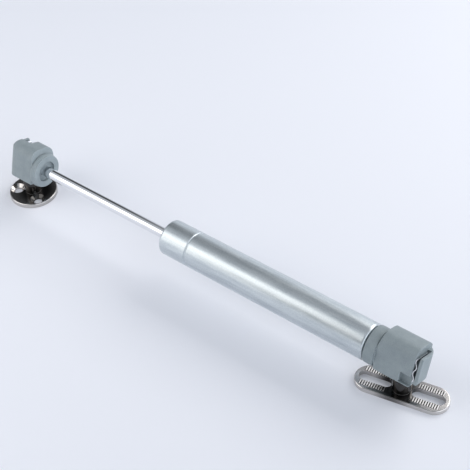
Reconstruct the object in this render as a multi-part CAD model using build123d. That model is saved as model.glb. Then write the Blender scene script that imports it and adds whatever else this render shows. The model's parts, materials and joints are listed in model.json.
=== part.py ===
from build123d import *
from typing import NamedTuple
import os

# Gas spring for a lid: a steel cylinder, a sprung rod, and a ball-socket head and a ball-stud plate
# at each end. Millimetres, +Z up, both plates flat on z = 0. The origin is the middle of the slotted
# plate's underside, below the ball that the tube swings on, and X runs along the plate's slots.

# Strut: its own axis is X, counted from the tube-end ball towards the rod end
strut_heading = -11.9       # turn of the strut about its tube-end ball, from the plate's X axis, degrees
axis_height = 22.8          # height of the strut's axis over the undersides of the plates
stroke = 80.0
compressed_rod = 9.1        # rod left showing when the spring is pushed home

# Cylinder tube
tube_d = 19.0
tube_wall = 1.0
tube_roll = 1.6             # radius of the rolled-in ends
lip_bore_d = 12.0           # hole left by the rolled-in ends
bead_depth = 0.6            # rolled groove that holds the seal package
bead_width = 2.2            # groove width on the outside
bead_inner_width = 1.6      # ridge width on the bore
fit_gap = 0.05              # radial clearance of the pieces held still in the bore

# Closed end of the tube
plug_length = 8.0
o_ring_section = 1.8
o_ring_groove_width = 2.4
o_ring_x = 4.0              # from the plug's inner face to the middle of its groove
head_seat_gap = 0.4         # thin gap that shows between the tube's rim and the head
plug_boss_d = 11.6
stud_thread_d = 6.0
thread_gap = 0.05

# Seal and guide package at the rod end, stacked from the rolled groove outwards
support_thickness = 1.0
support_bore_d = 7.2
seal_length = 5.0
seal_lip_length = 3.2
seal_lip_width = 1.3        # thickness of each lip at its root
seal_tip_width = 0.8        # and at its tip
guide_length = 8.0
guide_bush_clearance = 0.06
wiper_length = 1.8
wiper_d = 9.6
end_washer_thickness = 1.4
end_washer_bore_d = 8.0

# Rod and piston, stacked from the seal package inwards
rod_d = 6.0
rod_tip_chamfer = 0.5
rod_shank_d = 4.0           # reduced end that carries the piston
bumper_gap = 0.3            # rebound bumper to the seal washer at full extension
bumper_thickness = 3.0
bumper_side_gap = 1.5       # radial gap of the bumper in the bore
bumper_round = 0.6
front_washer_thickness = 1.0
front_washer_d = 12.5
piston_length = 6.0
piston_gap = 0.4            # radial gap of the piston body in the bore
ring_length = 2.4
ring_depth = 1.6
ring_clearance = 0.1        # piston ring to the bore
ring_side_gap = 0.05
ring_split = 0.8
valve_hole_d = 0.9
valve_hole_count = 4
valve_hole_pcd = 10.2
valve_disc_thickness = 0.5
valve_disc_d = 12.0
valve_seat_gap = 0.05       # disc to the piston at rest
valve_lift = 0.35           # room for the disc to lift
back_washer_thickness = 1.0
back_washer_d = 9.0
nut_thickness = 4.0
nut_flats = 7.0
nut_gap = 0.05              # bore clearance of what sits on the rod's shank
shank_beyond_nut = 0.6
gas_space = 2.6             # left between the nut and the plug when pushed home

# Ball-socket heads, with the same section at both ends
tube_head_reach = 16.5      # ball centre to the collar's face
rod_head_reach = 15.0
collar_d = 19.2
tube_collar_length = 6.0
rod_collar_length = 3.4
rod_collar_round = 2.2      # the collar's rim is well rounded where it is seen, on the rod
tube_collar_round = 0.5
collar_groove_width = 0.6   # fine groove where the collar meets the body
collar_groove_depth = 0.5
head_width = 16.4
head_top = 12.0             # above the ball centre
head_bottom = 7.5           # below the ball centre
head_top_round = 5.5
head_bottom_round = 0.8
head_corner_round = 9.0     # upright corner of the end, on the side where the slot is closed
head_edge_round = 0.5
shoulder_length = 1.4       # short rise from the collar up to the body
shoulder_rise = 3.6         # how much wider the rise's cone is at its far end
head_bore_depth = 8.6       # hole for the rod or for the plug's stud
rod_recess_d = 11.6
rod_recess_depth = 1.6
socket_clearance = 0.15     # ball to its seat
throat_d = 7.4              # snap-in throat below the ball
throat_drop = 1.9           # throat's distance below the ball centre
mouth_d = 12.6              # flare at the bottom face
rod_seat_wall = 1.0         # between the ball seat and the clip slot
tube_seat_wall = 4.9
slot_width = 2.1
slot_side_wall = 5.6        # wall that closes the slot on one side and carries the end wall
end_wall = 1.5
end_wall_drop = 3.0         # end wall's top below the body's top
end_wall_lift = 3.0         # end wall's bottom above the body's bottom
notch_length = 8.4          # rod end: wedge cut in the top, open to the slot's open side
notch_depth = 5.0
notch_wall = 0.5            # the wedge's closed side, short of the middle
pocket_length = 5.6         # tube end: moulded pocket low on the open side, open to the slot
pocket_height = 5.2
pocket_depth = 2.4
pocket_lift = 0.7           # lip left under the pocket
rod_end_lean = 18.0         # roll of each head about the strut's axis at rest, degrees
tube_end_lean = 21.0

# Retaining clips
clip_thickness = 0.4
clip_wave = 0.5             # how far the strip waves to each side
clip_pitch = 6.4            # one full wave
clip_front_gap = 0.1        # front crests to the slot's front wall
clip_side_gap = 0.3         # strip short of the head's side face and of the slot's side wall
clip_top = 8.2              # above the ball centre
clip_bottom = 3.9           # below the ball centre
tongue_tip = 3.8            # tongue's tip from the ball centre, under the ball
tongue_width = 4.0
tongue_window_gap = 0.35

# Ball studs
ball_d = 8.0
neck_d = 4.8
neck_flare = 1.0            # fillet between the neck and the base
stud_base_d = 9.4
stud_base_height = 8.5      # above the plate
stud_base_round = 0.8
rivet_d = 5.0
rivet_head_d = 7.4
rivet_head_depth = 1.2
rivet_recess = 0.15         # riveted end kept short of the plate's underside
rivet_clearance = 0.06

# Plates
plate_thickness = 2.5
plate_edge_round = 0.6
slotted_length = 47.0
slotted_width = 15.6
slot_end_margin = 2.0       # plate left beyond each slot
slot_land = 10.0            # plate left between the slots, under the stud
slot_bore_d = 5.5           # width of the mounting slots
round_plate_d = 26.8
screw_pcd = 18.0
screw_hole_d = 4.6
screw_sink_d = 8.0
screw_sink_depth = 1.6
screw_count = 3
screw_angle = 30.0          # first hole, from the strut's direction, degrees

# Places along the strut, worked out from the sizes above
tube_r = tube_d / 2
bore_r = tube_r - tube_wall
rod_r = rod_d / 2
ball_r = ball_d / 2
tube_start = tube_head_reach + head_seat_gap
plug_start = tube_start + tube_wall
plug_end = plug_start + plug_length
valve_space = valve_lift + valve_disc_thickness + valve_seat_gap
piston_stack = (nut_thickness + back_washer_thickness + valve_space + piston_length
                + front_washer_thickness + bumper_thickness + bumper_gap)
support_start = plug_end + gas_space + piston_stack + stroke
seal_start = support_start + support_thickness
guide_start = seal_start + seal_length
end_washer_start = guide_start + guide_length
tube_end = end_washer_start + end_washer_thickness + tube_wall
bead_x = support_start - bead_inner_width / 2
bumper_start = support_start - bumper_gap - bumper_thickness
front_washer_start = bumper_start - front_washer_thickness
piston_start = front_washer_start - piston_length
valve_disc_start = piston_start - valve_seat_gap - valve_disc_thickness
back_washer_start = valve_disc_start - valve_lift - back_washer_thickness
nut_start = back_washer_start - nut_thickness
rod_head_face = tube_end + stroke + compressed_rod
extended_length = rod_head_face + rod_head_reach
seat_r = ball_r + socket_clearance
slot_length = (slotted_length - slot_land) / 2 - slot_end_margin
slot_spacing = slot_length + slot_land


class HeadEnd(NamedTuple):
    """What differs between the two heads, counted from the ball centre."""

    reach: float            # to the collar's face
    collar_length: float
    collar_round: float
    slot_front: float       # to the clip slot, the other way

    @property
    def collar_start(self):
        """Where the body ends and the collar begins."""
        return self.reach - self.collar_length

    @property
    def outer_end(self):
        """Outer face of the wall beyond the slot."""
        return self.slot_front + slot_width + end_wall


tube_head = HeadEnd(tube_head_reach, tube_collar_length, tube_collar_round, seat_r + tube_seat_wall)
rod_head = HeadEnd(rod_head_reach, rod_collar_length, rod_collar_round, seat_r + rod_seat_wall)


def ring(start, length, outer_r, inner_r=0.0):
    """A cylinder along X, or a tube where it has an inner radius."""
    face = Plane.YZ.offset(start) * Circle(outer_r)
    if inner_r > 0:
        face -= Plane.YZ.offset(start) * Circle(inner_r)
    return extrude(face, length)


def turned(corners):
    """A solid turned about X from the corners of its half section."""
    return revolve(make_face(Polyline(*corners, close=True)), Axis.X)


def turned_upright(outline):
    """A solid turned about Z from its half section, drawn as radius and height."""
    return revolve(Plane.XZ * make_face(outline), Axis.Z)


def cylinder_tube():
    """Tube with a rolled groove and both ends rolled in."""
    lip_r = lip_bore_d / 2
    groove = ThreePointArc(
        (bead_x - bead_width / 2, tube_r),
        (bead_x, tube_r - bead_depth),
        (bead_x + bead_width / 2, tube_r),
    )
    ridge = ThreePointArc(
        (bead_x - bead_inner_width / 2, bore_r),
        (bead_x, bore_r - bead_depth),
        (bead_x + bead_inner_width / 2, bore_r),
    )
    closed_roll = CenterArc((tube_start + tube_roll, tube_r - tube_roll), tube_roll, 90, 90)
    open_roll = CenterArc((tube_end - tube_roll, tube_r - tube_roll), tube_roll, 0, 90)
    outside = [
        Line((tube_start, lip_r), closed_roll @ 1),
        closed_roll,
        Line(closed_roll @ 0, groove @ 0),
        groove,
        Line(groove @ 1, open_roll @ 1),
        open_roll,
        Line(open_roll @ 0, (tube_end, lip_r)),
    ]
    inside = [
        Line((tube_end, lip_r), (tube_end - tube_wall, lip_r)),
        Line((tube_end - tube_wall, lip_r), (tube_end - tube_wall, bore_r)),
        Line((tube_end - tube_wall, bore_r), ridge @ 1),
        ridge,
        Line(ridge @ 0, (tube_start + tube_wall, bore_r)),
        Line((tube_start + tube_wall, bore_r), (tube_start + tube_wall, lip_r)),
        Line((tube_start + tube_wall, lip_r), (tube_start, lip_r)),
    ]
    return revolve(make_face(outside + inside), Axis.X)


def tube_end_plug():
    """Plug with an O-ring groove, a boss through the rolled lip and a threaded stud for the head."""
    plug_r = bore_r - fit_gap
    groove_x = plug_end - o_ring_x
    groove_r = bore_r - o_ring_section - 2 * fit_gap
    body = ring(plug_start, plug_length, plug_r)
    body -= ring(groove_x - o_ring_groove_width / 2, o_ring_groove_width, plug_r + 1, groove_r)
    body += ring(tube_head_reach, plug_start - tube_head_reach, plug_boss_d / 2)
    stud_length = head_bore_depth - thread_gap
    return body + ring(tube_head_reach - stud_length, stud_length, stud_thread_d / 2)


def end_plug_o_ring():
    """Round-section seal in the plug's groove."""
    section_r = o_ring_section / 2
    centre = (plug_end - o_ring_x, bore_r - fit_gap - section_r)
    return revolve(Pos(*centre) * Circle(section_r), Axis.X)


def seal_support_washer():
    """Washer between the tube's rolled ridge and the seal."""
    return ring(support_start, support_thickness, bore_r - fit_gap, support_bore_d / 2)


def rod_seal():
    """Lip seal with one lip on the bore and one on the rod, open towards the gas."""
    outer_r = bore_r - fit_gap
    inner_r = rod_r + guide_bush_clearance
    lip_end = seal_start + seal_lip_length
    corners = [
        (seal_start, outer_r),
        (seal_start + seal_length, outer_r),
        (seal_start + seal_length, inner_r),
        (seal_start, inner_r),
        (seal_start, inner_r + seal_tip_width),
        (lip_end, inner_r + seal_lip_width),
        (lip_end, outer_r - seal_lip_width),
        (seal_start, outer_r - seal_tip_width),
    ]
    return turned(corners)


def rod_guide():
    """Guide bush for the rod, with a seat for the wiper in its outer face."""
    body = ring(guide_start, guide_length, bore_r - fit_gap, rod_r + guide_bush_clearance)
    seat_start = guide_start + guide_length - wiper_length
    return body - ring(seat_start, wiper_length, wiper_d / 2)


def rod_wiper():
    """Wiper ring that keeps dust off the guide."""
    start = guide_start + guide_length - wiper_length
    return ring(start, wiper_length, wiper_d / 2 - fit_gap, rod_r + guide_bush_clearance)


def guide_end_washer():
    """Washer that the rolled-in end of the tube bears on."""
    return ring(end_washer_start, end_washer_thickness, bore_r - fit_gap, end_washer_bore_d / 2)


def rebound_bumper():
    """Soft stop that meets the seal washer at full extension."""
    outer_r = bore_r - bumper_side_gap
    body = ring(bumper_start, bumper_thickness, outer_r, rod_shank_d / 2 + nut_gap)
    rims = body.edges().filter_by(GeomType.CIRCLE).sort_by(SortBy.RADIUS)[-2:]
    return fillet(rims, bumper_round)


def piston_front_washer():
    """Washer between the bumper and the piston."""
    inner_r = rod_shank_d / 2 + nut_gap
    return ring(front_washer_start, front_washer_thickness, front_washer_d / 2, inner_r)


def piston():
    """Piston with a ring groove and damping holes."""
    outer_r = bore_r - piston_gap
    middle = piston_start + piston_length / 2
    body = ring(piston_start, piston_length, outer_r, rod_shank_d / 2 + nut_gap)
    groove_length = ring_length + 2 * ring_side_gap
    body -= ring(middle - groove_length / 2, groove_length, outer_r + 1, outer_r - ring_depth)
    holes = Plane.YZ.offset(piston_start) * PolarLocations(valve_hole_pcd / 2, valve_hole_count)
    for hole in holes:
        body -= extrude(hole * Circle(valve_hole_d / 2), piston_length)
    return body


def piston_ring():
    """Split ring in the piston's groove."""
    middle = piston_start + piston_length / 2
    outer_r = bore_r - ring_clearance
    inner_r = bore_r - piston_gap - ring_depth + fit_gap
    body = ring(middle - ring_length / 2, ring_length, outer_r, inner_r)
    split = Box(2 * ring_length, ring_split, 2 * (outer_r - inner_r))
    return body - Pos(middle, 0, (outer_r + inner_r) / 2) * split


def valve_disc():
    """Thin disc behind the piston that covers its holes."""
    inner_r = rod_shank_d / 2 + nut_gap
    return ring(valve_disc_start, valve_disc_thickness, valve_disc_d / 2, inner_r)


def piston_back_washer():
    """Washer that backs the valve disc."""
    inner_r = rod_shank_d / 2 + nut_gap
    return ring(back_washer_start, back_washer_thickness, back_washer_d / 2, inner_r)


def piston_nut():
    """Hexagon nut that holds the piston on the rod."""
    hexagon = RegularPolygon(nut_flats / 2, 6, major_radius=False)
    hexagon -= Circle(rod_shank_d / 2 + nut_gap)
    return extrude(Plane.YZ.offset(nut_start) * hexagon, nut_thickness)


def piston_rod():
    """Rod with a reduced shank for the piston and a chamfered end in the head."""
    shank_start = nut_start - shank_beyond_nut
    rod_tip = rod_head_face + head_bore_depth - thread_gap
    shank_r = rod_shank_d / 2
    corners = [
        (shank_start, 0),
        (shank_start, shank_r),
        (bumper_start + bumper_thickness, shank_r),
        (bumper_start + bumper_thickness, rod_r),
        (rod_tip - rod_tip_chamfer, rod_r),
        (rod_tip, rod_r - rod_tip_chamfer),
        (rod_tip, 0),
    ]
    return turned(corners)


def head_section():
    """Outline of a head across its length: flat sides and bottom, well-rounded top."""
    height = head_top + head_bottom
    outline = Pos(0, (head_top - head_bottom) / 2) * Rectangle(head_width, height)
    outline = fillet(outline.vertices().sort_by(Axis.Y)[-2:], head_top_round)
    return fillet(outline.vertices().sort_by(Axis.Y)[:2], head_bottom_round)


def head_block(end):
    """Body of a head from its outer end to the collar, slotted behind the ball."""
    block = extrude(Plane.YZ.offset(-end.outer_end) * head_section(), end.outer_end + end.collar_start)
    cone_r = collar_d / 2 + shoulder_rise
    taper = [
        (-end.outer_end - 1, 0),
        (-end.outer_end - 1, cone_r),
        (end.collar_start - shoulder_length, cone_r),
        (end.collar_start, collar_d / 2 - collar_groove_depth),
        (end.collar_start, 0),
    ]
    block &= turned(taper)
    block -= closed_corner(end.outer_end)
    block -= clip_slot(end.slot_front)
    rims = open_rim(block, end.slot_front) + open_rim(block, end.outer_end)
    return fillet(rims, head_edge_round)


def open_rim(block, distance):
    """Edges of the upright face at a distance behind the ball, clear of the large upright round."""
    rim = []
    for edge in block.edges():
        box = edge.bounding_box()
        on_face = abs(box.min.X + distance) < 0.01 and abs(box.max.X + distance) < 0.01
        if on_face and box.max.Y > -head_width / 2 + head_corner_round + 0.01:
            rim.append(edge)
    return rim


def closed_corner(outer_end):
    """What the large upright round takes off the end, on the side where the slot is closed."""
    tall = 4 * (head_top + head_bottom)
    centre = (-outer_end + head_corner_round, -head_width / 2 + head_corner_round)
    corner = Pos(-outer_end, -head_width / 2) * Rectangle(2 * head_corner_round, 2 * head_corner_round)
    corner -= Pos(*centre) * Circle(head_corner_round)
    return extrude(corner, tall / 2, both=True)


def socket_head(end):
    """Moulded head before its end's own cuts. Ball centre at the origin, collar towards +X."""
    collar_r = collar_d / 2
    rim_start = end.collar_start + collar_groove_width
    body = head_block(end) + ring(end.collar_start, end.collar_length, collar_r - collar_groove_depth)
    collar = ring(rim_start, end.reach - rim_start, collar_r)
    body += fillet(collar.edges().filter_by(GeomType.CIRCLE).sort_by(Axis.X)[-1], end.collar_round)
    body -= ring(end.reach - head_bore_depth, head_bore_depth, rod_r + thread_gap)
    body -= Sphere(seat_r)
    body -= socket_mouth()
    return body - tongue_window(end.slot_front)


def rod_end_head():
    """Head with a recess round the rod and a wedge in its top."""
    recess = ring(rod_head.reach - rod_recess_depth, rod_recess_depth, rod_recess_d / 2)
    return socket_head(rod_head) - recess - access_notch(rod_head.slot_front)


def tube_end_head():
    """Head with a pocket low on the side where the slot is open."""
    return socket_head(tube_head) - side_pocket(tube_head.slot_front)


def socket_mouth():
    """Snap-in throat and flare under the ball, wide enough for the stud to tilt."""
    outline = Polyline(
        (0, 0),
        (throat_d / 2, 0),
        (throat_d / 2, -throat_drop),
        (mouth_d / 2, -head_bottom),
        (mouth_d / 2, -head_bottom - 1),
        (0, -head_bottom - 1),
        close=True,
    )
    return turned_upright(outline)


def clip_slot(slot_front):
    """Slot behind the ball, open to the top, the bottom and one side, and the trimmed end wall."""
    tall = 4 * (head_top + head_bottom)
    breadth = head_width - slot_side_wall + 1
    cut_y = head_width / 2 + 1 - breadth / 2
    cut = Pos(-slot_front - slot_width / 2, cut_y, 0) * Box(slot_width, breadth, tall)
    trim = 2 * (slot_width + end_wall)
    above = Pos(0, 0, 2 * head_top - end_wall_drop) * Box(trim, 2 * head_width, 2 * head_top)
    below = Pos(0, 0, end_wall_lift - 2 * head_bottom) * Box(trim, 2 * head_width, 2 * head_bottom)
    return cut + Pos(-slot_front - trim / 2, 0, 0) * (above + below)


def access_notch(slot_front):
    """Wedge cut down from the top to the slot, so that the clip can be pushed back."""
    wedge = Polyline(
        (-slot_front + notch_length, head_top + 1),
        (-slot_front + notch_length, head_top),
        (-slot_front, head_top - notch_depth),
        (-slot_front - slot_width / 2, head_top - notch_depth),
        (-slot_front - slot_width / 2, head_top + 1),
        close=True,
    )
    return extrude(Plane.XZ.offset(notch_wall) * make_face(wedge), -head_width)


def tongue_window(slot_front):
    """Window from the slot into the mouth for the clip's tongue."""
    window_width = tongue_width + 2 * tongue_window_gap
    window_height = clip_thickness + 2 * tongue_window_gap
    length = slot_front - throat_drop
    centre_z = -clip_bottom + clip_thickness / 2
    return Pos(-slot_front + length / 2, 0, centre_z) * Box(length, window_width, window_height)


def side_pocket(slot_front):
    """Moulded pocket low on the open side, open to the slot."""
    centre_x = -slot_front + pocket_length / 2
    centre_z = -head_bottom + pocket_lift + pocket_height / 2
    return Pos(centre_x, head_width / 2, centre_z) * Box(pocket_length, 2 * pocket_depth, pocket_height)


def retaining_clip(slot_front):
    """Waved steel strip in the head's slot, with a tongue that reaches under the ball."""
    height = clip_top + clip_bottom
    half_waves = max(2, round(2 * height / clip_pitch))
    half_pitch = height / half_waves
    centre_x = -slot_front - clip_front_gap - clip_wave - clip_thickness / 2
    outline = []
    for shift in (-clip_thickness / 2, clip_thickness / 2):
        x = centre_x + shift
        for half in range(half_waves):
            low = -clip_bottom + half * half_pitch
            crest_x = x + clip_wave * (1 if half % 2 else -1)
            outline.append(ThreePointArc((x, low), (crest_x, low + half_pitch / 2), (x, low + half_pitch)))
    for z in (-clip_bottom, clip_top):
        outline.append(Line((centre_x - clip_thickness / 2, z), (centre_x + clip_thickness / 2, z)))
    far_y = -head_width / 2 + slot_side_wall + clip_side_gap
    near_y = head_width / 2 - clip_side_gap
    strip = extrude(Plane.XZ.offset(-near_y) * make_face(outline), near_y - far_y)
    tongue_length = -tongue_tip - centre_x
    tongue = Pos(centre_x + tongue_length / 2, 0, -clip_bottom + clip_thickness / 2) * Box(
        tongue_length, tongue_width, clip_thickness)
    return strip + tongue


def ball_stud():
    """Ball on a neck and a round base, with a riveted end in the plate. Stands on z = 0."""
    base_r = stud_base_d / 2
    neck_r = neck_d / 2
    base_low = plate_thickness + rivet_clearance
    base_high = plate_thickness + stud_base_height
    flare = CenterArc((neck_r + neck_flare, base_high + neck_flare), neck_flare, 180, 90)
    corners = [
        flare @ 1,
        (base_r - stud_base_round, base_high),
        (base_r, base_high - stud_base_round),
        (base_r, base_low),
        (rivet_d / 2, base_low),
        (rivet_d / 2, rivet_recess + rivet_head_depth),
        (rivet_head_d / 2, rivet_recess),
        (0, rivet_recess),
        (0, axis_height),
        (neck_r, axis_height),
        flare @ 0,
    ]
    return turned_upright([flare, Polyline(*corners)]) + Pos(0, 0, axis_height) * Sphere(ball_r)


def rivet_hole():
    """Hole through a plate for the stud's riveted end, countersunk from below."""
    straight_r = rivet_d / 2 + rivet_clearance
    head_r = rivet_head_d / 2 + rivet_clearance
    outline = Polyline(
        (0, -1),
        (head_r, -1),
        (head_r, rivet_recess),
        (straight_r, rivet_recess + rivet_head_depth + rivet_clearance),
        (straight_r, plate_thickness + 1),
        (0, plate_thickness + 1),
        close=True,
    )
    return turned_upright(outline)


def rounded_plate(outline):
    """Plate on z = 0 with its top rim rounded."""
    plate = extrude(outline, plate_thickness)
    return fillet(plate.faces().sort_by(Axis.Z)[-1].edges(), plate_edge_round)


def slotted_plate():
    """Long plate with two mounting slots."""
    plate = rounded_plate(SlotOverall(slotted_length, slotted_width))
    for side in (-1, 1):
        slot = Pos(side * slot_spacing / 2, 0, -1) * SlotOverall(slot_length, slot_bore_d)
        plate -= extrude(slot, plate_thickness + 2)
    return plate - rivet_hole()


def round_plate():
    """Round plate with three countersunk screw holes."""
    plate = rounded_plate(Circle(round_plate_d / 2))
    sink_low = plate_thickness - screw_sink_depth
    for place in PolarLocations(screw_pcd / 2, screw_count, start_angle=screw_angle):
        plate -= place * Pos(0, 0, plate_thickness / 2) * Cylinder(screw_hole_d / 2, plate_thickness + 2)
        sink = Cone(screw_hole_d / 2, screw_sink_d / 2, screw_sink_depth)
        plate -= place * Pos(0, 0, sink_low + screw_sink_depth / 2) * sink
    return plate - rivet_hole()


def main():
    """Build each piece, stand it in the part's frame and write it to its own file."""
    strut = Location((0, 0, axis_height), (0, 0, strut_heading))
    tube_place = strut * Rot(tube_end_lean, 0, 0)
    rod_place = strut * Pos(extended_length, 0, 0) * Rot(rod_end_lean, 0, 0) * Rot(0, 0, 180)
    rod_foot = strut * Pos(extended_length, 0, -axis_height)
    pieces = {
        "cylinder_tube": strut * cylinder_tube(),
        "tube_end_plug": strut * tube_end_plug(),
        "end_plug_o_ring": strut * end_plug_o_ring(),
        "seal_support_washer": strut * seal_support_washer(),
        "rod_seal": strut * rod_seal(),
        "rod_guide": strut * rod_guide(),
        "rod_wiper": strut * rod_wiper(),
        "guide_end_washer": strut * guide_end_washer(),
        "rebound_bumper": strut * rebound_bumper(),
        "piston_front_washer": strut * piston_front_washer(),
        "piston": strut * piston(),
        "piston_ring": strut * piston_ring(),
        "valve_disc": strut * valve_disc(),
        "piston_back_washer": strut * piston_back_washer(),
        "piston_nut": strut * piston_nut(),
        "piston_rod": strut * piston_rod(),
        "tube_end_head": tube_place * tube_end_head(),
        "tube_end_clip": tube_place * retaining_clip(tube_head.slot_front),
        "tube_end_ball_stud": ball_stud(),
        "slotted_plate": slotted_plate(),
        "rod_end_head": rod_place * rod_end_head(),
        "rod_end_clip": rod_place * retaining_clip(rod_head.slot_front),
        "rod_end_ball_stud": rod_foot * ball_stud(),
        "round_plate": rod_foot * round_plate(),
    }
    os.makedirs("parts", exist_ok=True)
    for name, piece in pieces.items():
        export_step(piece, "parts/" + name + ".step")


main()
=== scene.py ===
"""Dresses the gas spring: fine meshes for the turned pieces, plate serrations, finishes and studio."""
import json
import logging
import math
from dataclasses import dataclass
from enum import Enum

import bmesh
import bpy
from mathutils import Matrix, Vector


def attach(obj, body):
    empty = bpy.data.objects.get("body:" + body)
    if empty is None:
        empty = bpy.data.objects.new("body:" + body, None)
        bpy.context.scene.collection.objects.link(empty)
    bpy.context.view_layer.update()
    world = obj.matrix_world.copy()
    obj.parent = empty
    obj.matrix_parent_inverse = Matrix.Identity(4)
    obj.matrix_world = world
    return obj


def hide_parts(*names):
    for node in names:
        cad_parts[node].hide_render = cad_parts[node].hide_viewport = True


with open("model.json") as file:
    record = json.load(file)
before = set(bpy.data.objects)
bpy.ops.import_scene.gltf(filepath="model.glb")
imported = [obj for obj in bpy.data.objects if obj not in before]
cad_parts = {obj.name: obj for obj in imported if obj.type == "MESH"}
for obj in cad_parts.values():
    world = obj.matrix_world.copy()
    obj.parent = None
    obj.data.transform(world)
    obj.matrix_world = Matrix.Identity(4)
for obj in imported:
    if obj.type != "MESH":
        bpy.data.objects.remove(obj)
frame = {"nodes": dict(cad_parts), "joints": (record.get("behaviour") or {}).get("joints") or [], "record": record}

Colour = tuple[float, float, float]

MM = 0.001
HALF_TURN = 180.0

# A profile point nearer the axis than this, in millimetres, is one vertex instead of a ring.
ON_AXIS = 1e-6
# Edges bent by more than this many degrees stay crisp.
SHARP_ANGLE = 32.0
# Height of the relief in millimetres, for a grain depth of one.
BUMP_HEIGHT = 0.02
# The fine noise and the slow noise add up to this on average.
NOISE_MIDDLE = 1.0
# Sums of the two noises that give a finish's shade and its full colour.
CLOUD_LOW, CLOUD_HIGH = 0.70, 1.30
# Cosines of the bend at which an edge starts to show and shows fully.
EDGE_START, EDGE_FULL = 0.995, 0.90
# How many times brighter than the surface the painted edge highlight can be.
EDGE_HIGHLIGHT_GAIN = 1.7
EDGE_SAMPLES = 6
# Sockets of a Mix node that mixes colours.
COLOUR_A, COLOUR_B, COLOUR_OUT = 6, 7, 2

log = logging.getLogger("gas_spring")


class Slot(Enum):
    """Material slots of the part."""

    TUBE = "satin_steel"
    ROD = "chrome_rod"
    PLATE = "nickel_plate"
    HEAD = "head_plastic"
    SPRING = "spring_steel"
    INNER_STEEL = "inner_steel"
    BRASS = "guide_brass"
    ALLOY = "piston_alloy"
    RUBBER = "seal_rubber"
    RING = "ring_plastic"


class Grain(Enum):
    """How a surface's fine marks run."""

    EVEN = "even"
    TURNED = "turned"
    DRAWN = "drawn"


@dataclass(frozen=True)
class StrutFrame:
    """The strut's own axis in the part's frame: X from the tube-end ball towards the rod-end ball."""

    tube_ball: Vector
    rod_ball: Vector

    @classmethod
    def from_joints(cls, joints: list[dict]) -> "StrutFrame":
        """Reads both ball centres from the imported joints.

        Args:
            joints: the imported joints, with positions in metres.

        Returns:
            The strut's frame.
        """
        places = {joint["name"]: joint.get("pos_m") for joint in joints}
        return cls(Vector(places["tube_end_tilt"]), Vector(places["rod_end_tilt"]))

    @property
    def heading(self) -> float:
        """Turn of the strut from the X axis, in radians."""
        span = self.rod_ball - self.tube_ball
        return math.atan2(span.y, span.x)

    def matrix(self) -> Matrix:
        """Places a mesh built along X from the tube-end ball."""
        return Matrix.Translation(self.tube_ball) @ Matrix.Rotation(self.heading, 4, "Z")

    def foot_matrix(self, ball: Vector) -> Matrix:
        """Places a mesh turned about X so that it stands under a ball, X upwards from z = 0.

        Args:
            ball: centre of the ball.

        Returns:
            The placing matrix.
        """
        ground = Matrix.Translation((ball.x, ball.y, 0.0))
        return ground @ Matrix.Rotation(-math.pi / 2, 4, "Y")


def arc(centre: tuple[float, float], radius: float, start: float, end: float, steps: int) -> list:
    """Points on an arc in a half section.

    Args:
        centre: along-axis place and radius of the arc's centre.
        radius: radius of the arc.
        start: first angle in degrees.
        end: last angle in degrees.
        steps: number of chords.

    Returns:
        The points, both ends included.
    """
    points = []
    for step in range(steps + 1):
        angle = math.radians(start + (end - start) * step / steps)
        points.append((centre[0] + radius * math.cos(angle), centre[1] + radius * math.sin(angle)))
    return points


def add_object(name: str, data: bpy.types.ID) -> bpy.types.Object:
    """Puts a mesh, lamp or camera in the scene.

    Args:
        name: name of the new object.
        data: what it shows.

    Returns:
        The new object, at the origin.
    """
    added = bpy.data.objects.new(name, data)
    bpy.context.scene.collection.objects.link(added)
    return added


def lathe(name: str, profile: list, place: Matrix, closed: bool, facets: int) -> bpy.types.Object:
    """Turns a half section about X.

    Args:
        name: name of the new piece.
        profile: (along, radius) points in millimetres.
        place: matrix from the turned frame, in metres, to the part's frame.
        closed: True where the profile's last point joins its first, as in a tube wall.
        facets: number of facets round the axis.

    Returns:
        The new object, at the origin.
    """
    shape = bmesh.new()
    rings = []
    for along, radius in profile:
        if radius < ON_AXIS:
            rings.append([shape.verts.new((along * MM, 0.0, 0.0))])
            continue
        across = radius * MM
        ring = []
        for index in range(facets):
            angle = 2 * math.pi * index / facets
            ring.append(shape.verts.new((along * MM, across * math.cos(angle), across * math.sin(angle))))
        rings.append(ring)
    pairs = list(zip(rings, rings[1:]))
    if closed:
        pairs.append((rings[-1], rings[0]))
    for first, second in pairs:
        for index in range(facets):
            after = (index + 1) % facets
            corners = [first[index % len(first)], first[after % len(first)],
                       second[after % len(second)], second[index % len(second)]]
            corners = list(dict.fromkeys(corners))
            if len(corners) > 2:
                shape.faces.new(corners)
    bmesh.ops.recalc_face_normals(shape, faces=shape.faces)
    mesh = bpy.data.meshes.new(name)
    shape.to_mesh(mesh)
    shape.free()
    mesh.transform(place)
    mesh.shade_smooth()
    mesh.set_sharp_from_angle(angle=math.radians(SHARP_ANGLE))
    return add_object(name, mesh)


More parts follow.
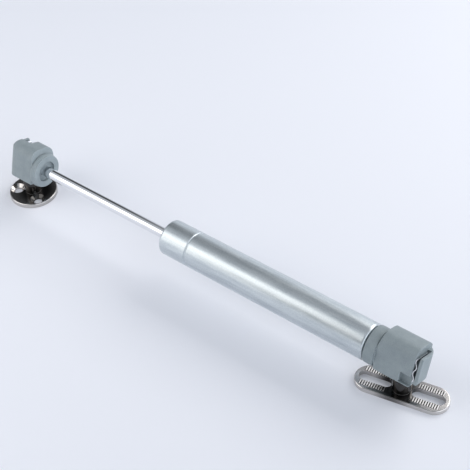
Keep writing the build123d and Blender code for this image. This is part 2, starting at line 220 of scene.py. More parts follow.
class Nodes:
    """A short way to add and join the nodes of one tree."""

    def __init__(self, tree: bpy.types.NodeTree) -> None:
        """Keeps the tree.

        Args:
            tree: the node tree to fill.
        """
        self.tree = tree

    def feed(self, entry: bpy.types.NodeSocket, source: object) -> None:
        """Gives an input what it takes.

        Args:
            entry: the input.
            source: another node's output, which is linked, or a fixed value.
        """
        if isinstance(source, bpy.types.NodeSocket):
            self.tree.links.new(source, entry)
        else:
            entry.default_value = source

    def add(self, kind: str, values: dict | None = None, **fields: object) -> bpy.types.Node:
        """Adds a node.

        Args:
            kind: the node's type name.
            values: what goes in, by input name or number: another node's output or a fixed value.
            **fields: properties of the node.

        Returns:
            The new node.
        """
        node = self.tree.nodes.new(kind)
        for key, value in fields.items():
            setattr(node, key, value)
        for key, value in (values or {}).items():
            self.feed(node.inputs[key], value)
        return node

    def calculate(self, operation: str, *sources: bpy.types.NodeSocket | float) -> bpy.types.NodeSocket:
        """Adds a Math node.

        Args:
            operation: what it works out.
            *sources: what goes in, in order.

        Returns:
            The node's output.
        """
        return self.add("ShaderNodeMath", dict(enumerate(sources)), operation=operation).outputs[0]

    def mix_colour(self, factor: bpy.types.NodeSocket | float, first: bpy.types.NodeSocket | Colour,
                   second: bpy.types.NodeSocket | Colour, blend: str = "MIX") -> bpy.types.NodeSocket:
        """Adds a Mix node for colours.

        Args:
            factor: share of the second colour.
            first: the first colour.
            second: the second colour.
            blend: how the two are blended.

        Returns:
            The node's output.
        """
        node = self.add("ShaderNodeMix", {"Factor": factor}, data_type="RGBA", blend_type=blend)
        for entry, source in ((COLOUR_A, first), (COLOUR_B, second)):
            self.feed(node.inputs[entry], (*source, 1.0) if isinstance(source, tuple) else source)
        return node.outputs[COLOUR_OUT]


def grain_group() -> bpy.types.NodeTree:
    """Fine surface grain with a slow change of sheen, used by every finish.

    Returns:
        A group with a vector and a scale each for the grain and the clouds, the roughness with its
        spread, and the grain's depth. It gives the relief, the roughness and the share of the colour.
    """
    group = bpy.data.node_groups.new("surface_grain", "ShaderNodeTree")
    sockets = group.interface
    for name in ("Grain Vector", "Cloud Vector"):
        sockets.new_socket(name, in_out="INPUT", socket_type="NodeSocketVector")
    for name in ("Grain Scale", "Cloud Scale", "Roughness", "Roughness Spread", "Grain Depth"):
        sockets.new_socket(name, in_out="INPUT", socket_type="NodeSocketFloat")
    for name in ("Height", "Roughness", "Cloud"):
        sockets.new_socket(name, in_out="OUTPUT", socket_type="NodeSocketFloat")
    nodes = Nodes(group)
    entry = nodes.add("NodeGroupInput").outputs
    fine = nodes.add("ShaderNodeTexNoise", {
        "Vector": entry["Grain Vector"], "Scale": entry["Grain Scale"], "Detail": 3.0, "Roughness": 0.6,
    }).outputs["Fac"]
    cloud = nodes.add("ShaderNodeTexNoise", {
        "Vector": entry["Cloud Vector"], "Scale": entry["Cloud Scale"], "Detail": 2.0, "Roughness": 0.5,
    }).outputs["Fac"]
    both = nodes.calculate("ADD", fine, cloud)
    centred = nodes.calculate("SUBTRACT", both, NOISE_MIDDLE)
    share = nodes.add("ShaderNodeMapRange", {"Value": both, "From Min": CLOUD_LOW, "From Max": CLOUD_HIGH})
    nodes.add("NodeGroupOutput", {
        "Height": nodes.calculate("MULTIPLY", fine, entry["Grain Depth"]),
        "Roughness": nodes.calculate("MULTIPLY_ADD", centred, entry["Roughness Spread"], entry["Roughness"]),
        "Cloud": share.outputs["Result"],
    })
    return group


def edge_group() -> bpy.types.NodeTree:
    """Softens a piece's edges and finds them, for a painted highlight along the edges.

    Returns:
        A group with a Radius input, and Normal and Edge outputs.
    """
    group = bpy.data.node_groups.new("soft_edge", "ShaderNodeTree")
    sockets = group.interface
    sockets.new_socket("Radius", in_out="INPUT", socket_type="NodeSocketFloat")
    sockets.new_socket("Normal", in_out="OUTPUT", socket_type="NodeSocketVector")
    sockets.new_socket("Edge", in_out="OUTPUT", socket_type="NodeSocketFloat")
    nodes = Nodes(group)
    radius = nodes.add("NodeGroupInput").outputs["Radius"]
    soft = nodes.add("ShaderNodeBevel", {"Radius": radius}, samples=EDGE_SAMPLES).outputs["Normal"]
    surface = nodes.add("ShaderNodeNewGeometry").outputs["Normal"]
    along = nodes.add("ShaderNodeVectorMath", {0: soft, 1: surface}, operation="DOT_PRODUCT")
    edge = nodes.add("ShaderNodeMapRange", {
        "Value": along.outputs["Value"], "From Min": EDGE_START, "From Max": EDGE_FULL,
    })
    nodes.add("NodeGroupOutput", {"Normal": soft, "Edge": edge.outputs["Result"]})
    return group


@dataclass(frozen=True)
class Finish:
    """One surface finish: two colours in linear light, its sheen, its grain and a painted highlight along its
    edges.

    Scales are per metre, the edge radius is in millimetres, and stretch is how many times longer than
    wide the turned or drawn marks are.
    """

    colour: Colour
    shade: Colour
    metallic: float
    roughness: float
    spread: float
    grain_scale: float
    grain_depth: float
    cloud_scale: float
    grain: Grain = Grain.EVEN
    cloud: Grain = Grain.EVEN
    stretch: float = 30.0
    edge_radius: float = 0.0
    # Share of the painted highlight that makes the edges paler.
    edge_painted_highlight: float = 0.0

    def build(self, name: str, strut: StrutFrame,
              groups: dict[str, bpy.types.NodeTree]) -> bpy.types.Material:
        """Makes the material.

        Args:
            name: name of the material.
            strut: the strut's frame, so that turned and drawn marks follow its axis.
            groups: the shared node groups by name.

        Returns:
            The material.
        """
        material = bpy.data.materials.new(name)
        material.use_nodes = True
        nodes = Nodes(material.node_tree)
        shader = material.node_tree.nodes["Principled BSDF"].inputs
        shader["Metallic"].default_value = self.metallic
        place = nodes.add("ShaderNodeTexCoord").outputs["Object"]
        grain = nodes.add("ShaderNodeGroup", {
            "Grain Vector": self.marks(nodes, place, strut.heading, self.grain),
            "Cloud Vector": self.marks(nodes, place, strut.heading, self.cloud),
            "Grain Scale": self.grain_scale,
            "Cloud Scale": self.cloud_scale,
            "Roughness": self.roughness,
            "Roughness Spread": self.spread,
            "Grain Depth": self.grain_depth,
        }, node_tree=groups["grain"]).outputs
        tint = nodes.mix_colour(grain["Cloud"], self.shade, self.colour)
        tint = self.toned(nodes, place, tint, strut, shader["Metallic"])
        relief = {"Strength": 1.0, "Distance": BUMP_HEIGHT * MM, "Height": grain["Height"]}
        if self.edge_radius:
            edge = nodes.add("ShaderNodeGroup", {"Radius": self.edge_radius * MM},
                             node_tree=groups["edge"]).outputs
            relief["Normal"] = edge["Normal"]
            # Painted highlight: the edges are painted paler than the surface.
            share = nodes.calculate("MULTIPLY", edge["Edge"], self.edge_painted_highlight)
            edge_highlight_colour = tuple(min(1.0, EDGE_HIGHLIGHT_GAIN * part) for part in self.colour)
            tint = nodes.mix_colour(share, tint, edge_highlight_colour)
        nodes.feed(shader["Base Color"], tint)
        nodes.feed(shader["Roughness"], grain["Roughness"])
        nodes.feed(shader["Normal"], nodes.add("ShaderNodeBump", relief).outputs["Normal"])
        return material

    def marks(self, nodes: Nodes, place: bpy.types.NodeSocket, heading: float,
              grain: Grain) -> bpy.types.NodeSocket:
        """Turns and stretches a pattern's place so that its marks run one way.

        Args:
            nodes: the material's nodes.
            place: the object's own coordinates.
            heading: turn of the strut, in radians.
            grain: how the marks run.

        Returns:
            The vector for the pattern.
        """
        scale = {
            Grain.EVEN: (1.0, 1.0, 1.0),
            Grain.TURNED: (1.0, self.stretch, self.stretch),
            Grain.DRAWN: (self.stretch, 1.0, 1.0),
        }[grain]
        values = {"Vector": place, "Rotation": (0.0, 0.0, heading), "Scale": scale}
        return nodes.add("ShaderNodeMapping", values, vector_type="TEXTURE").outputs["Vector"]

    def toned(self, nodes: Nodes, place: bpy.types.NodeSocket, tint: bpy.types.NodeSocket,
              strut: StrutFrame, metallic: bpy.types.NodeSocket) -> bpy.types.NodeSocket:
        """Lets a finish change from place to place; this one leaves its colour as it is.

        Args:
            nodes: the material's nodes.
            place: the object's own coordinates.
            tint: the surface's colour.
            strut: the strut's frame.
            metallic: the shader's own Metallic input.

        Returns:
            The colour from here on.
        """
        return tint


@dataclass(frozen=True)
class Nickel(Finish):
    """Nickel plate, with painted light: a painted highlight on the serration crests, painted shade in the grooves,
    and painted shade round each stud.

    The bands are heights above the plate's underside. The painted shade round each stud stands in for the head's
    shadow and its dark reflection in the plate, and it darkens the studs too. It fades out between two distances
    from a place that lies a little inward of each stud's axis, along the strut. All are in millimetres.
    """

    # The grooves' level is painted shade and the crests' level is a painted highlight; the crests are also less
    # metallic.
    groove_band: tuple[float, float] = (2.505, 2.57)
    groove_painted_shade: float = 0.12
    crest_band: tuple[float, float] = (2.57, 2.90)
    crest_painted_highlight: float = 1.5
    crest_metal: float = 0.1
    # Painted shade round each stud: where its fade starts and ends, its darkest level, and its shift inward.
    painted_shade_reach: tuple[float, float] = (6.0, 13.5)
    painted_shade_level: float = 0.10
    painted_shade_shift: float = 2.5

    def toned(self, nodes: Nodes, place: bpy.types.NodeSocket, tint: bpy.types.NodeSocket,
              strut: StrutFrame, metallic: bpy.types.NodeSocket) -> bpy.types.NodeSocket:
        """Paints shade in the grooves and a highlight on the crests by height on the plate, and paints shade by
        distance from the studs.

        Args:
            nodes: the material's nodes.
            place: the object's own coordinates.
            tint: the surface's colour.
            strut: the strut's frame.
            metallic: the shader's own Metallic input, which gives way to a frosted, less metallic white on the
                crests under their painted highlight.

        Returns:
            The colour from here on.
        """
        height = nodes.add("ShaderNodeSeparateXYZ", {"Vector": place}).outputs["Z"]
        grooves = self.band(nodes, height, self.groove_band)
        crests = self.band(nodes, height, self.crest_band)
        nodes.feed(metallic, self.scaled(nodes, crests, self.crest_metal))
        # Painted shade in the grooves between the teeth, and a painted highlight on their crests.
        level = nodes.calculate("MULTIPLY", self.scaled(nodes, grooves, self.groove_painted_shade),
                                self.scaled(nodes, crests, self.crest_painted_highlight))
        flat = nodes.add("ShaderNodeVectorMath", {0: place, 1: (1.0, 1.0, 0.0)}, operation="MULTIPLY")
        # Painted shade round each stud, for the head's shadow and its dark reflection; it darkens the studs too.
        near, far = self.painted_shade_reach
        inward = (strut.rod_ball - strut.tube_ball).normalized() * self.painted_shade_shift * MM
        for centre in (strut.tube_ball + inward, strut.rod_ball - inward):
            reach = nodes.add("ShaderNodeVectorMath", {
                0: flat.outputs["Vector"], 1: (centre.x, centre.y, 0.0),
            }, operation="DISTANCE")
            shade = nodes.add("ShaderNodeMapRange", {
                "Value": reach.outputs["Value"], "From Min": near * MM, "From Max": far * MM,
                "To Min": self.painted_shade_level,
            }, interpolation_type="SMOOTHSTEP")
            level = nodes.calculate("MULTIPLY", level, shade.outputs["Result"])
        return nodes.mix_colour(1.0, tint, level, "MULTIPLY")

    def band(self, nodes: Nodes, height: bpy.types.NodeSocket,
             limits: tuple[float, float]) -> bpy.types.NodeSocket:
        """Gives one between two heights in millimetres, and nought elsewhere."""
        low, high = limits
        return nodes.calculate("COMPARE", height, (low + high) / 2 * MM, (high - low) / 2 * MM)

    def scaled(self, nodes: Nodes, mask: bpy.types.NodeSocket, level: float) -> bpy.types.NodeSocket:
        """Gives the level where the mask is one, and one where it is nought."""
        return nodes.calculate("MULTIPLY_ADD", mask, level - 1.0, 1.0)


FINISHES = {
    Slot.TUBE: Finish(
        colour=(0.69, 0.735, 0.75), shade=(0.51, 0.56, 0.585), metallic=1.0, roughness=0.35, spread=0.14,
        grain_scale=1600.0, grain_depth=0.5, cloud_scale=700.0, cloud=Grain.DRAWN, stretch=12.0),
    Slot.ROD: Finish(
        colour=(0.85, 0.855, 0.87), shade=(0.81, 0.815, 0.83), metallic=1.0, roughness=0.05, spread=0.02,
        grain_scale=3000.0, grain_depth=0.02, cloud_scale=120.0, grain=Grain.DRAWN, cloud=Grain.DRAWN),
    Slot.PLATE: Nickel(
        colour=(0.66, 0.635, 0.615), shade=(0.58, 0.555, 0.54), metallic=1.0, roughness=0.14, spread=0.04,
        grain_scale=1400.0, grain_depth=0.1, cloud_scale=110.0, edge_radius=0.06, edge_painted_highlight=0.3),
    Slot.HEAD: Finish(
        colour=(0.284, 0.330, 0.346), shade=(0.220, 0.262, 0.279), metallic=0.0, roughness=0.45,
        spread=0.12, grain_scale=2400.0, grain_depth=0.8, cloud_scale=200.0, edge_radius=0.3,
        edge_painted_highlight=0.7),
    Slot.SPRING: Finish(
        colour=(0.84, 0.85, 0.86), shade=(0.74, 0.75, 0.77), metallic=1.0, roughness=0.16, spread=0.05,
        grain_scale=2000.0, grain_depth=0.2, cloud_scale=150.0, grain=Grain.DRAWN, cloud=Grain.DRAWN),
    Slot.INNER_STEEL: Finish(
        colour=(0.60, 0.61, 0.63), shade=(0.50, 0.51, 0.53), metallic=1.0, roughness=0.32, spread=0.08,
        grain_scale=1800.0, grain_depth=0.5, cloud_scale=120.0, grain=Grain.TURNED, cloud=Grain.TURNED),
    Slot.BRASS: Finish(
        colour=(0.74, 0.55, 0.26), shade=(0.64, 0.46, 0.20), metallic=1.0, roughness=0.28, spread=0.07,
        grain_scale=1800.0, grain_depth=0.5, cloud_scale=120.0, grain=Grain.TURNED, cloud=Grain.TURNED),
    Slot.ALLOY: Finish(
        colour=(0.74, 0.75, 0.77), shade=(0.66, 0.67, 0.69), metallic=1.0, roughness=0.30, spread=0.06,
        grain_scale=1800.0, grain_depth=0.5, cloud_scale=120.0, grain=Grain.TURNED, cloud=Grain.TURNED),
    Slot.RUBBER: Finish(
        colour=(0.020, 0.020, 0.021), shade=(0.014, 0.014, 0.015), metallic=0.0, roughness=0.60,
        spread=0.10, grain_scale=1500.0, grain_depth=0.8, cloud_scale=120.0),
    Slot.RING: Finish(
        colour=(0.030, 0.030, 0.032), shade=(0.022, 0.022, 0.024), metallic=0.0, roughness=0.45,
        spread=0.08, grain_scale=1500.0, grain_depth=0.5, cloud_scale=120.0),
}


class Workshop:
    """Holds the finishes and the strut's frame, and dresses pieces with them."""

    def __init__(self, strut: StrutFrame) -> None:
        """Builds every finish.

        Args:
            strut: the strut's frame.
        """
        self.strut = strut
        groups = {"grain": grain_group(), "edge": edge_group()}
        self.materials = {slot: finish.build(slot.value, strut, groups) for slot, finish in FINISHES.items()}

    def finish_piece(self, piece: bpy.types.Object, body: str, slot: Slot, *nodes: str) -> None:
        """Dresses a new piece and hangs it on its body.

        Args:
            piece: the new piece.
            body: body that it rides on.
            slot: finish of the piece.
            *nodes: CAD nodes that it stands for.
        """
        piece.data.materials.clear()
        piece.data.materials.append(self.materials[slot])
        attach(piece, body)
        if nodes:
            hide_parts(*nodes)
        log.info("%s: %d vertices on %s", piece.name, len(piece.data.vertices), body)

    def dress_nodes(self) -> None:
        """Gives every CAD node the finish of its own slot."""
        slots = {part["node"]: Slot(part["material_slot"]) for part in frame["record"]["subparts"]}
        for name, piece in frame["nodes"].items():
            piece.data.materials.clear()
            piece.data.materials.append(self.materials[slots[name]])
            log.info("%s dressed in %s", name, slots[name].value)


@dataclass
class Cylinder:
    """The steel cylinder: rolled-in ends and a rolled groove, turned about the strut. Millimetres."""

    outer_d: float = 19.0
    wall: float = 1.0
    roll: float = 1.6
    roll_steps: int = 8
    lip_bore_d: float = 12.0
    groove_depth: float = 0.55
    groove_width: float = 1.3
    groove_steps: int = 12
    ridge_width: float = 1.6
    ridge_steps: int = 8
    start: float = 16.9
    groove_x: float = 123.9
    end: float = 141.1
    facets: int = 160

    def dip(self, width: float, level: float, steps: int) -> list:
        """Points of the groove's arc, seen from outside or from the bore.

        Args:
            width: width of the dip at its rim.
            level: radius of the surface beside the dip.
            steps: number of chords.

        Returns:
            The arc's points along the axis.
        """
        half = width / 2
        radius = (half * half + self.groove_depth ** 2) / (2 * self.groove_depth)
        sweep = math.degrees(math.asin(half / radius))
        centre = (self.groove_x, level - self.groove_depth + radius)
        return arc(centre, radius, 270 - sweep, 270 + sweep, steps)

    def profile(self) -> list:
        """Half section of the wall.

        Returns:
            The closed outline's points.
        """
        outer = self.outer_d / 2
        bore = outer - self.wall
        lip = self.lip_bore_d / 2
        turn = outer - self.roll
        outside = [(self.start, lip)]
        outside += arc((self.start + self.roll, turn), self.roll, 180, 90, self.roll_steps)
        outside += self.dip(self.groove_width, outer, self.groove_steps)
        outside += arc((self.end - self.roll, turn), self.roll, 90, 0, self.roll_steps)
        outside += [(self.end, lip), (self.end - self.wall, lip), (self.end - self.wall, bore)]
        outside += reversed(self.dip(self.ridge_width, bore, self.ridge_steps))
        return outside + [(self.start + self.wall, bore), (self.start + self.wall, lip)]

    def build(self, shop: Workshop) -> None:
        """Builds and dresses the cylinder."""
        piece = lathe("cylinder", self.profile(), shop.strut.matrix(), True, self.facets)
        shop.finish_piece(piece, "tube", Slot.TUBE, "cylinder_tube")


@dataclass
class Rod:
    """The chromed rod, from its shank in the piston to its chamfered tip in the head. Millimetres."""

    rod_d: float = 6.0
    shank_d: float = 4.0
    shank_start: float = 107.9
    shank_end: float = 124.4
    tip_chamfer: float = 0.5
    tip: float = 238.75
    facets: int = 96

    def build(self, shop: Workshop) -> None:
        """Builds and dresses the rod.

        Args:
            shop: the finishes and the strut's frame.
        """
        radius = self.rod_d / 2
        shank = self.shank_d / 2
        profile = [
            (self.shank_start, 0.0),
            (self.shank_start, shank),
            (self.shank_end, shank),
            (self.shank_end, radius),
            (self.tip - self.tip_chamfer, radius),
            (self.tip, radius - self.tip_chamfer),
            (self.tip, 0.0),
        ]
        piece = lathe("rod", profile, shop.strut.matrix(), False, self.facets)
        shop.finish_piece(piece, "rod", Slot.ROD, "piston_rod")


@dataclass
class BallStud:
    """Ball stud: riveted end, base, neck and ball, turned about the upright axis. Millimetres."""

    ball_d: float = 8.0
    ball_steps: int = 24
    neck_d: float = 4.8
    flare: float = 1.0
    flare_steps: int = 6
    base_d: float = 9.4
    base_height: float = 8.5
    base_round: float = 0.8
    base_steps: int = 5
    rivet_d: float = 5.0
    rivet_head_d: float = 7.4
    rivet_head_depth: float = 1.2
    rivet_recess: float = 0.15
    plate: float = 2.5
    clearance: float = 0.06
    facets: int = 96

    def profile(self, height: float) -> list:
        """Half section from the riveted end up to the top of the ball.

        Args:
            height: height of the ball's centre, in millimetres.

        Returns:
            The outline's points, (height, radius).
        """
        base = self.base_d / 2
        neck = self.neck_d / 2
        ball = self.ball_d / 2
        low = self.plate + self.clearance
        high = self.plate + self.base_height
        start = HALF_TURN - math.degrees(math.asin(neck / ball))
        rounding = (high - self.base_round, base - self.base_round)
        points = [
            (self.rivet_recess, 0.0),
            (self.rivet_recess, self.rivet_head_d / 2),
            (self.rivet_recess + self.rivet_head_depth, self.rivet_d / 2),
            (low, self.rivet_d / 2),
            (low, base),
        ]
        points += arc(rounding, self.base_round, 90, 0, self.base_steps)
        points += arc((high + self.flare, neck + self.flare), self.flare, 180, 270, self.flare_steps)
        return points + arc((height, 0.0), ball, start, 0, self.ball_steps)

    def build(self, shop: Workshop, name: str, ball: Vector, body: str, node: str) -> None:
        """Builds and dresses one stud.

        Args:
            shop: the finishes and the strut's frame.
            name: name of the piece.
            ball: centre of the ball, in metres.
            body: body that it rides on.
            node: CAD node that it stands for.
        """
        place = shop.strut.foot_matrix(ball)
        piece = lathe(name, self.profile(ball.z / MM), place, False, self.facets)
        shop.finish_piece(piece, body, Slot.PLATE, node)


@dataclass
class Serrations:
    """Rows of fine teeth pressed along both sides of each slot of the long plate. Millimetres."""

    slot_spacing: float = 26.5
    slot_width: float = 5.5
    plate_top: float = 2.5
    tooth_pitch: float = 1.2
    tooth_width: float = 0.76
    tooth_height: float = 0.24
    crest_share: float = 0.55
    row_breadth: float = 2.7
    row_gap: float = 0.25
    bed_height: float = 0.05
    sink: float = 0.02
    teeth: int = 11
    # A face whose normal rises more than this is a tooth's top.
    upward: float = 0.5

    @property
    def run(self) -> float:
        """Length between the first and the last tooth of a row."""
        return (self.teeth - 1) * self.tooth_pitch

    def sizes(self) -> dict[str, float | int]:
        """Sizes of a row, in metres.

        Returns:
            The sizes by the names of the tree's inputs.
        """
        return {
            "Tooth Width": self.tooth_width * MM,
            "Tooth Height": self.tooth_height * MM,
            "Row Breadth": self.row_breadth * MM,
            "Pitch": self.tooth_pitch * MM,
            "Bed Length": self.teeth * self.tooth_pitch * MM,
            "Bed Height": self.bed_height * MM,
            "Bed Middle": self.run / 2 * MM,
            "Bed Drop": (self.bed_height - self.tooth_height) / 2 * MM,
            "Count": self.teeth,
        }

    def tree(self, material: bpy.types.Material) -> bpy.types.NodeTree:
        """Geometry tree for one row of ridged teeth.

        Args:
            material: finish of the teeth.

        Returns:
            The tree, with its sizes as named inputs.
        """
        group = bpy.data.node_groups.new("serrated_row", "GeometryNodeTree")
        sockets = group.interface
        sockets.new_socket("Geometry", in_out="OUTPUT", socket_type="NodeSocketGeometry")
        for name, size in self.sizes().items():
            kind = "NodeSocketInt" if isinstance(size, int) else "NodeSocketFloat"
            sockets.new_socket(name, in_out="INPUT", socket_type=kind)
        nodes = Nodes(group)
        entry = nodes.add("NodeGroupInput").outputs
        block = self.box(nodes, entry["Tooth Width"], entry["Row Breadth"], entry["Tooth Height"])
        normal = nodes.add("GeometryNodeInputNormal").outputs["Normal"]
        rise = nodes.add("ShaderNodeSeparateXYZ", {"Vector": normal}).outputs["Z"]
        top = nodes.add("FunctionNodeCompare", {0: rise, 1: self.upward},
                        data_type="FLOAT", operation="GREATER_THAN")
        ridge = nodes.add("GeometryNodeScaleElements", {
            "Geometry": block, "Selection": top.outputs["Result"],
            "Scale": self.crest_share, "Axis": (1.0, 0.0, 0.0),
        }, domain="FACE", scale_mode="SINGLE_AXIS")
        step = nodes.add("ShaderNodeCombineXYZ", {"X": entry["Pitch"]}).outputs["Vector"]
        line = nodes.add("GeometryNodeMeshLine", {"Count": entry["Count"], "Offset": step}, mode="OFFSET")
        row = nodes.add("GeometryNodeInstanceOnPoints", {
            "Points": line.outputs["Mesh"], "Instance": ridge.outputs["Geometry"],
        })
        bed = self.box(nodes, entry["Bed Length"], entry["Row Breadth"], entry["Bed Height"])
        shift = nodes.add("ShaderNodeCombineXYZ", {"X": entry["Bed Middle"], "Z": entry["Bed Drop"]})
        laid = nodes.add("GeometryNodeTransform", {
            "Geometry": bed, "Translation": shift.outputs["Vector"],
        })
        both = nodes.add("GeometryNodeJoinGeometry", {"Geometry": laid.outputs["Geometry"]})
        nodes.feed(both.inputs["Geometry"], row.outputs["Instances"])
        real = nodes.add("GeometryNodeRealizeInstances", {"Geometry": both.outputs["Geometry"]})
        paint = nodes.add("GeometryNodeSetMaterial", {
            "Geometry": real.outputs["Geometry"], "Material": material,
        })
        nodes.add("NodeGroupOutput", {"Geometry": paint.outputs["Geometry"]})
        return group

    def box(self, nodes: Nodes, *sizes: bpy.types.NodeSocket) -> bpy.types.NodeSocket:
        """Adds a block about the origin, by its sizes along X, Y and Z."""
        size = nodes.add("ShaderNodeCombineXYZ", dict(zip("XYZ", sizes)))
        return nodes.add("GeometryNodeMeshCube", {"Size": size.outputs["Vector"]}).outputs["Mesh"]

    def row(self, tree: bpy.types.NodeTree) -> bpy.types.Mesh:
        """One row of teeth as a plain mesh, starting at the origin and running along X.

        Args:
            tree: the row's geometry tree.

        Returns:
            The row's mesh.
        """
        carrier = add_object("row", bpy.data.meshes.new("row"))
        modifier = carrier.modifiers.new("teeth", "NODES")
        modifier.node_group = tree
        sizes = self.sizes()
        for item in tree.interface.items_tree:
            if item.name in sizes:
                modifier[item.identifier] = sizes[item.name]
        evaluated = carrier.evaluated_get(bpy.context.evaluated_depsgraph_get())
        mesh = bpy.data.meshes.new_from_object(evaluated)
        bpy.data.objects.remove(carrier)
        return mesh

    def build(self, shop: Workshop) -> None:
        """Builds the four rows as one piece on the slotted plate.

        Args:
            shop: the finishes and the strut's frame.
        """
        row = self.row(self.tree(shop.materials[Slot.PLATE]))
        joined = bmesh.new()
        offset_y = self.slot_width / 2 + self.row_gap + self.row_breadth / 2
        height = self.plate_top + self.tooth_height / 2 - self.sink
        for slot_side in (-1, 1):
            for row_side in (-1, 1):
                placed = row.copy()
                start_x = slot_side * self.slot_spacing / 2 - self.run / 2
                first_tooth = (start_x * MM, row_side * offset_y * MM, height * MM)
                placed.transform(Matrix.Translation(first_tooth))
                joined.from_mesh(placed)
                bpy.data.meshes.remove(placed)
        mesh = bpy.data.meshes.new("slot_serrations")
        joined.to_mesh(mesh)
        joined.free()
        shop.finish_piece(add_object("slot_serrations", mesh), "slotted_plate", Slot.PLATE)


@dataclass(frozen=True)
class Softbox:
    """A long soft lamp beside the strut and parallel to it. Metres, degrees, and radiance."""

    name: str
    along: float
    angle: float
    reach: float
    length: float
    width: float
    radiance: float
    colour: Colour = (1.0, 0.98, 0.96)

    def build(self, strut: StrutFrame) -> None:
        """Hangs the lamp, facing the strut's axis.

        Args:
            strut: the strut's frame.
        """
        data = bpy.data.lights.new(self.name, "AREA")
        data.shape = "RECTANGLE"
        data.size, data.size_y = self.length, self.width
        data.energy = math.pi * self.length * self.width * self.radiance
        data.color = self.colour
        tilt = math.radians(self.angle)
        ahead = Matrix.Rotation(strut.heading, 4, "Z")
        out = ahead @ Vector((0.0, math.cos(tilt), math.sin(tilt)))
        side = ahead @ Vector((1.0, 0.0, 0.0))
        turn = Matrix((side, out.cross(side), out)).transposed().to_4x4()
        place = Matrix.Translation(strut.tube_ball + side * self.along + out * self.reach)
        add_object(self.name, data).matrix_world = place @ turn


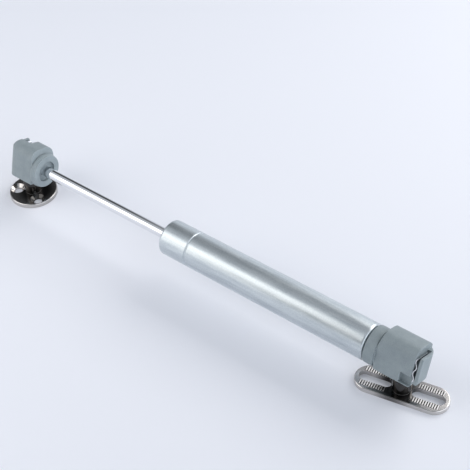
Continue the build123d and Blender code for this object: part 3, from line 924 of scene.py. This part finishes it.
@dataclass
class Studio:
    """Pale floor, soft boxes, a shaded sky and the camera at the photograph's angle.

    The camera's place, target, lens and sensor and the floor's drop are in millimetres, other lengths in
    metres, and angles in degrees. Each sky is a list of (angle, level) round the strut, from the front
    horizon over the top to the back horizon. The far sky takes over towards the rod end and the side sky
    towards the tube end, each between its two limits along the strut on a unit sphere.
    """

    strut: StrutFrame
    camera_place: tuple[float, float, float] = (-118.81, 356.94, 454.29)
    camera_target: tuple[float, float, float] = (119.86, -64.31, 0.0)
    camera_roll: float = -4.195
    camera_clip: tuple[float, float] = (0.01, 20.0)
    lens: float = 94.75
    sensor: float = 36.0
    floor_reach: float = 3.0
    floor_drop: float = 0.05
    floor_colour: Colour = (0.855, 0.87, 0.925)
    floor_roughness: float = 0.7
    lamps: tuple[Softbox, ...] = (
        Softbox("front_box", along=0.58, angle=50.0, reach=0.55, length=0.78, width=0.30, radiance=1.72),
        Softbox("front_low", along=0.70, angle=23.0, reach=0.55, length=0.74, width=0.20, radiance=1.45),
        Softbox("front_fill", along=0.0, angle=40.0, reach=0.55, length=0.50, width=0.40, radiance=0.06),
        Softbox("back_box", along=-0.17, angle=141.0, reach=0.68, length=0.70, width=0.36, radiance=3.00),
    )
    sky: tuple[tuple[float, float], ...] = (
        (0.0, 0.95), (12.0, 0.9), (18.0, 0.2), (50.0, 0.3), (62.0, 0.62), (82.0, 0.58),
        (98.0, 0.40), (126.0, 0.42), (150.0, 0.60), (158.0, 0.85), (180.0, 0.9))
    far_sky: tuple[tuple[float, float], ...] = (
        (0.0, 0.95), (12.0, 0.9), (18.0, 0.2), (50.0, 0.3), (62.0, 0.62), (94.0, 0.58),
        (108.0, 0.38), (117.0, 0.06), (150.0, 0.05), (158.0, 0.85), (180.0, 0.9))
    far_limits: tuple[float, float] = (0.50, 0.57)
    side_sky: tuple[tuple[float, float], ...] = ((0.0, 1.9), (180.0, 1.9))
    side_limits: tuple[float, float] = (-0.60, -0.78)
    sky_tint: Colour = (0.93, 0.98, 1.06)
    backdrop: Colour = (0.60, 0.63, 0.69)

    def add_camera(self) -> None:
        """Places the camera."""
        data = bpy.data.cameras.new("camera")
        data.lens = self.lens
        data.sensor_width = self.sensor
        data.clip_start, data.clip_end = self.camera_clip
        place = Vector(self.camera_place) * MM
        ahead = (Vector(self.camera_target) * MM - place).normalized()
        right = ahead.cross(Vector((0.0, 0.0, 1.0))).normalized()
        above = right.cross(ahead)
        roll = math.radians(self.camera_roll)
        side = right * math.cos(roll) + above * math.sin(roll)
        top = above * math.cos(roll) - right * math.sin(roll)
        turn = Matrix((side, top, -ahead)).transposed().to_4x4()
        camera = add_object("camera", data)
        camera.matrix_world = Matrix.Translation(place) @ turn
        bpy.context.scene.camera = camera

    def add_floor(self) -> None:
        """Lays the pale floor just under the plates."""
        reach = self.floor_reach
        height = -self.floor_drop * MM
        outline = ((-reach, -reach), (reach, -reach), (reach, reach), (-reach, reach))
        mesh = bpy.data.meshes.new("floor")
        mesh.from_pydata([(*corner, height) for corner in outline], [], [(0, 1, 2, 3)])
        material = bpy.data.materials.new("floor")
        material.use_nodes = True
        shader = material.node_tree.nodes["Principled BSDF"].inputs
        shader["Base Color"].default_value = (*self.floor_colour, 1.0)
        shader["Roughness"].default_value = self.floor_roughness
        mesh.materials.append(material)
        add_object("floor", mesh)

    def shaded(self, nodes: Nodes, turn: bpy.types.NodeSocket,
               levels: tuple[tuple[float, float], ...]) -> bpy.types.NodeSocket:
        """Shades a sky by the angle round the strut.

        Args:
            nodes: the world's nodes.
            turn: the angle, as a share of half a turn.
            levels: the sky's (angle, level) pairs.

        Returns:
            The sky's colour.
        """
        ramp = nodes.add("ShaderNodeValToRGB", {"Fac": turn})
        stops = ramp.color_ramp.elements
        for angle, _ in levels[1:-1]:
            stops.new(angle / HALF_TURN)
        for stop, (angle, level) in zip(stops, levels):
            stop.position = angle / HALF_TURN
            stop.color = (*(level * part for part in self.sky_tint), 1.0)
        return ramp.outputs["Color"]

    def add_world(self) -> None:
        """Surrounds the part with the sky, and shows the camera a plain pale backdrop instead."""
        world = bpy.data.worlds.new("studio")
        bpy.context.scene.world = world
        world.use_nodes = True
        nodes = Nodes(world.node_tree)
        place = nodes.add("ShaderNodeTexCoord").outputs["Generated"]
        turned = nodes.add("ShaderNodeVectorRotate", {"Vector": place, "Angle": -self.strut.heading},
                           rotation_type="Z_AXIS")
        way = nodes.add("ShaderNodeSeparateXYZ", {"Vector": turned.outputs["Vector"]}).outputs
        turn = nodes.calculate("DIVIDE", nodes.calculate("ARCTAN2", way["Z"], way["Y"]), math.pi)
        sky = self.shaded(nodes, turn, self.sky)
        for levels, (start, end) in ((self.far_sky, self.far_limits), (self.side_sky, self.side_limits)):
            share = nodes.add("ShaderNodeMapRange", {"Value": way["X"], "From Min": start, "From Max": end},
                              interpolation_type="SMOOTHSTEP")
            sky = nodes.mix_colour(share.outputs["Result"], sky, self.shaded(nodes, turn, levels))
        direct = nodes.add("ShaderNodeLightPath").outputs["Is Camera Ray"]
        background = world.node_tree.nodes["Background"].inputs
        nodes.feed(background["Color"], nodes.mix_colour(direct, sky, self.backdrop))
        background["Strength"].default_value = 1.0

    def build(self) -> None:
        """Sets the whole studio up."""
        bpy.context.scene.view_settings.view_transform = "Standard"
        self.add_world()
        self.add_floor()
        self.add_camera()
        for lamp in self.lamps:
            lamp.build(self.strut)


def main() -> None:
    """Builds and dresses every piece."""
    logging.basicConfig(level=logging.INFO, format="%(name)s: %(message)s")
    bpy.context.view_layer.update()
    strut = StrutFrame.from_joints(frame["joints"])
    shop = Workshop(strut)
    shop.dress_nodes()
    Cylinder().build(shop)
    Rod().build(shop)
    BallStud().build(shop, "tube_end_stud", strut.tube_ball, "tube_end_stud", "tube_end_ball_stud")
    BallStud().build(shop, "rod_end_stud", strut.rod_ball, "rod_end_stud", "rod_end_ball_stud")
    Serrations().build(shop)
    Studio(strut).build()


if __name__ == "__main__":
    main()
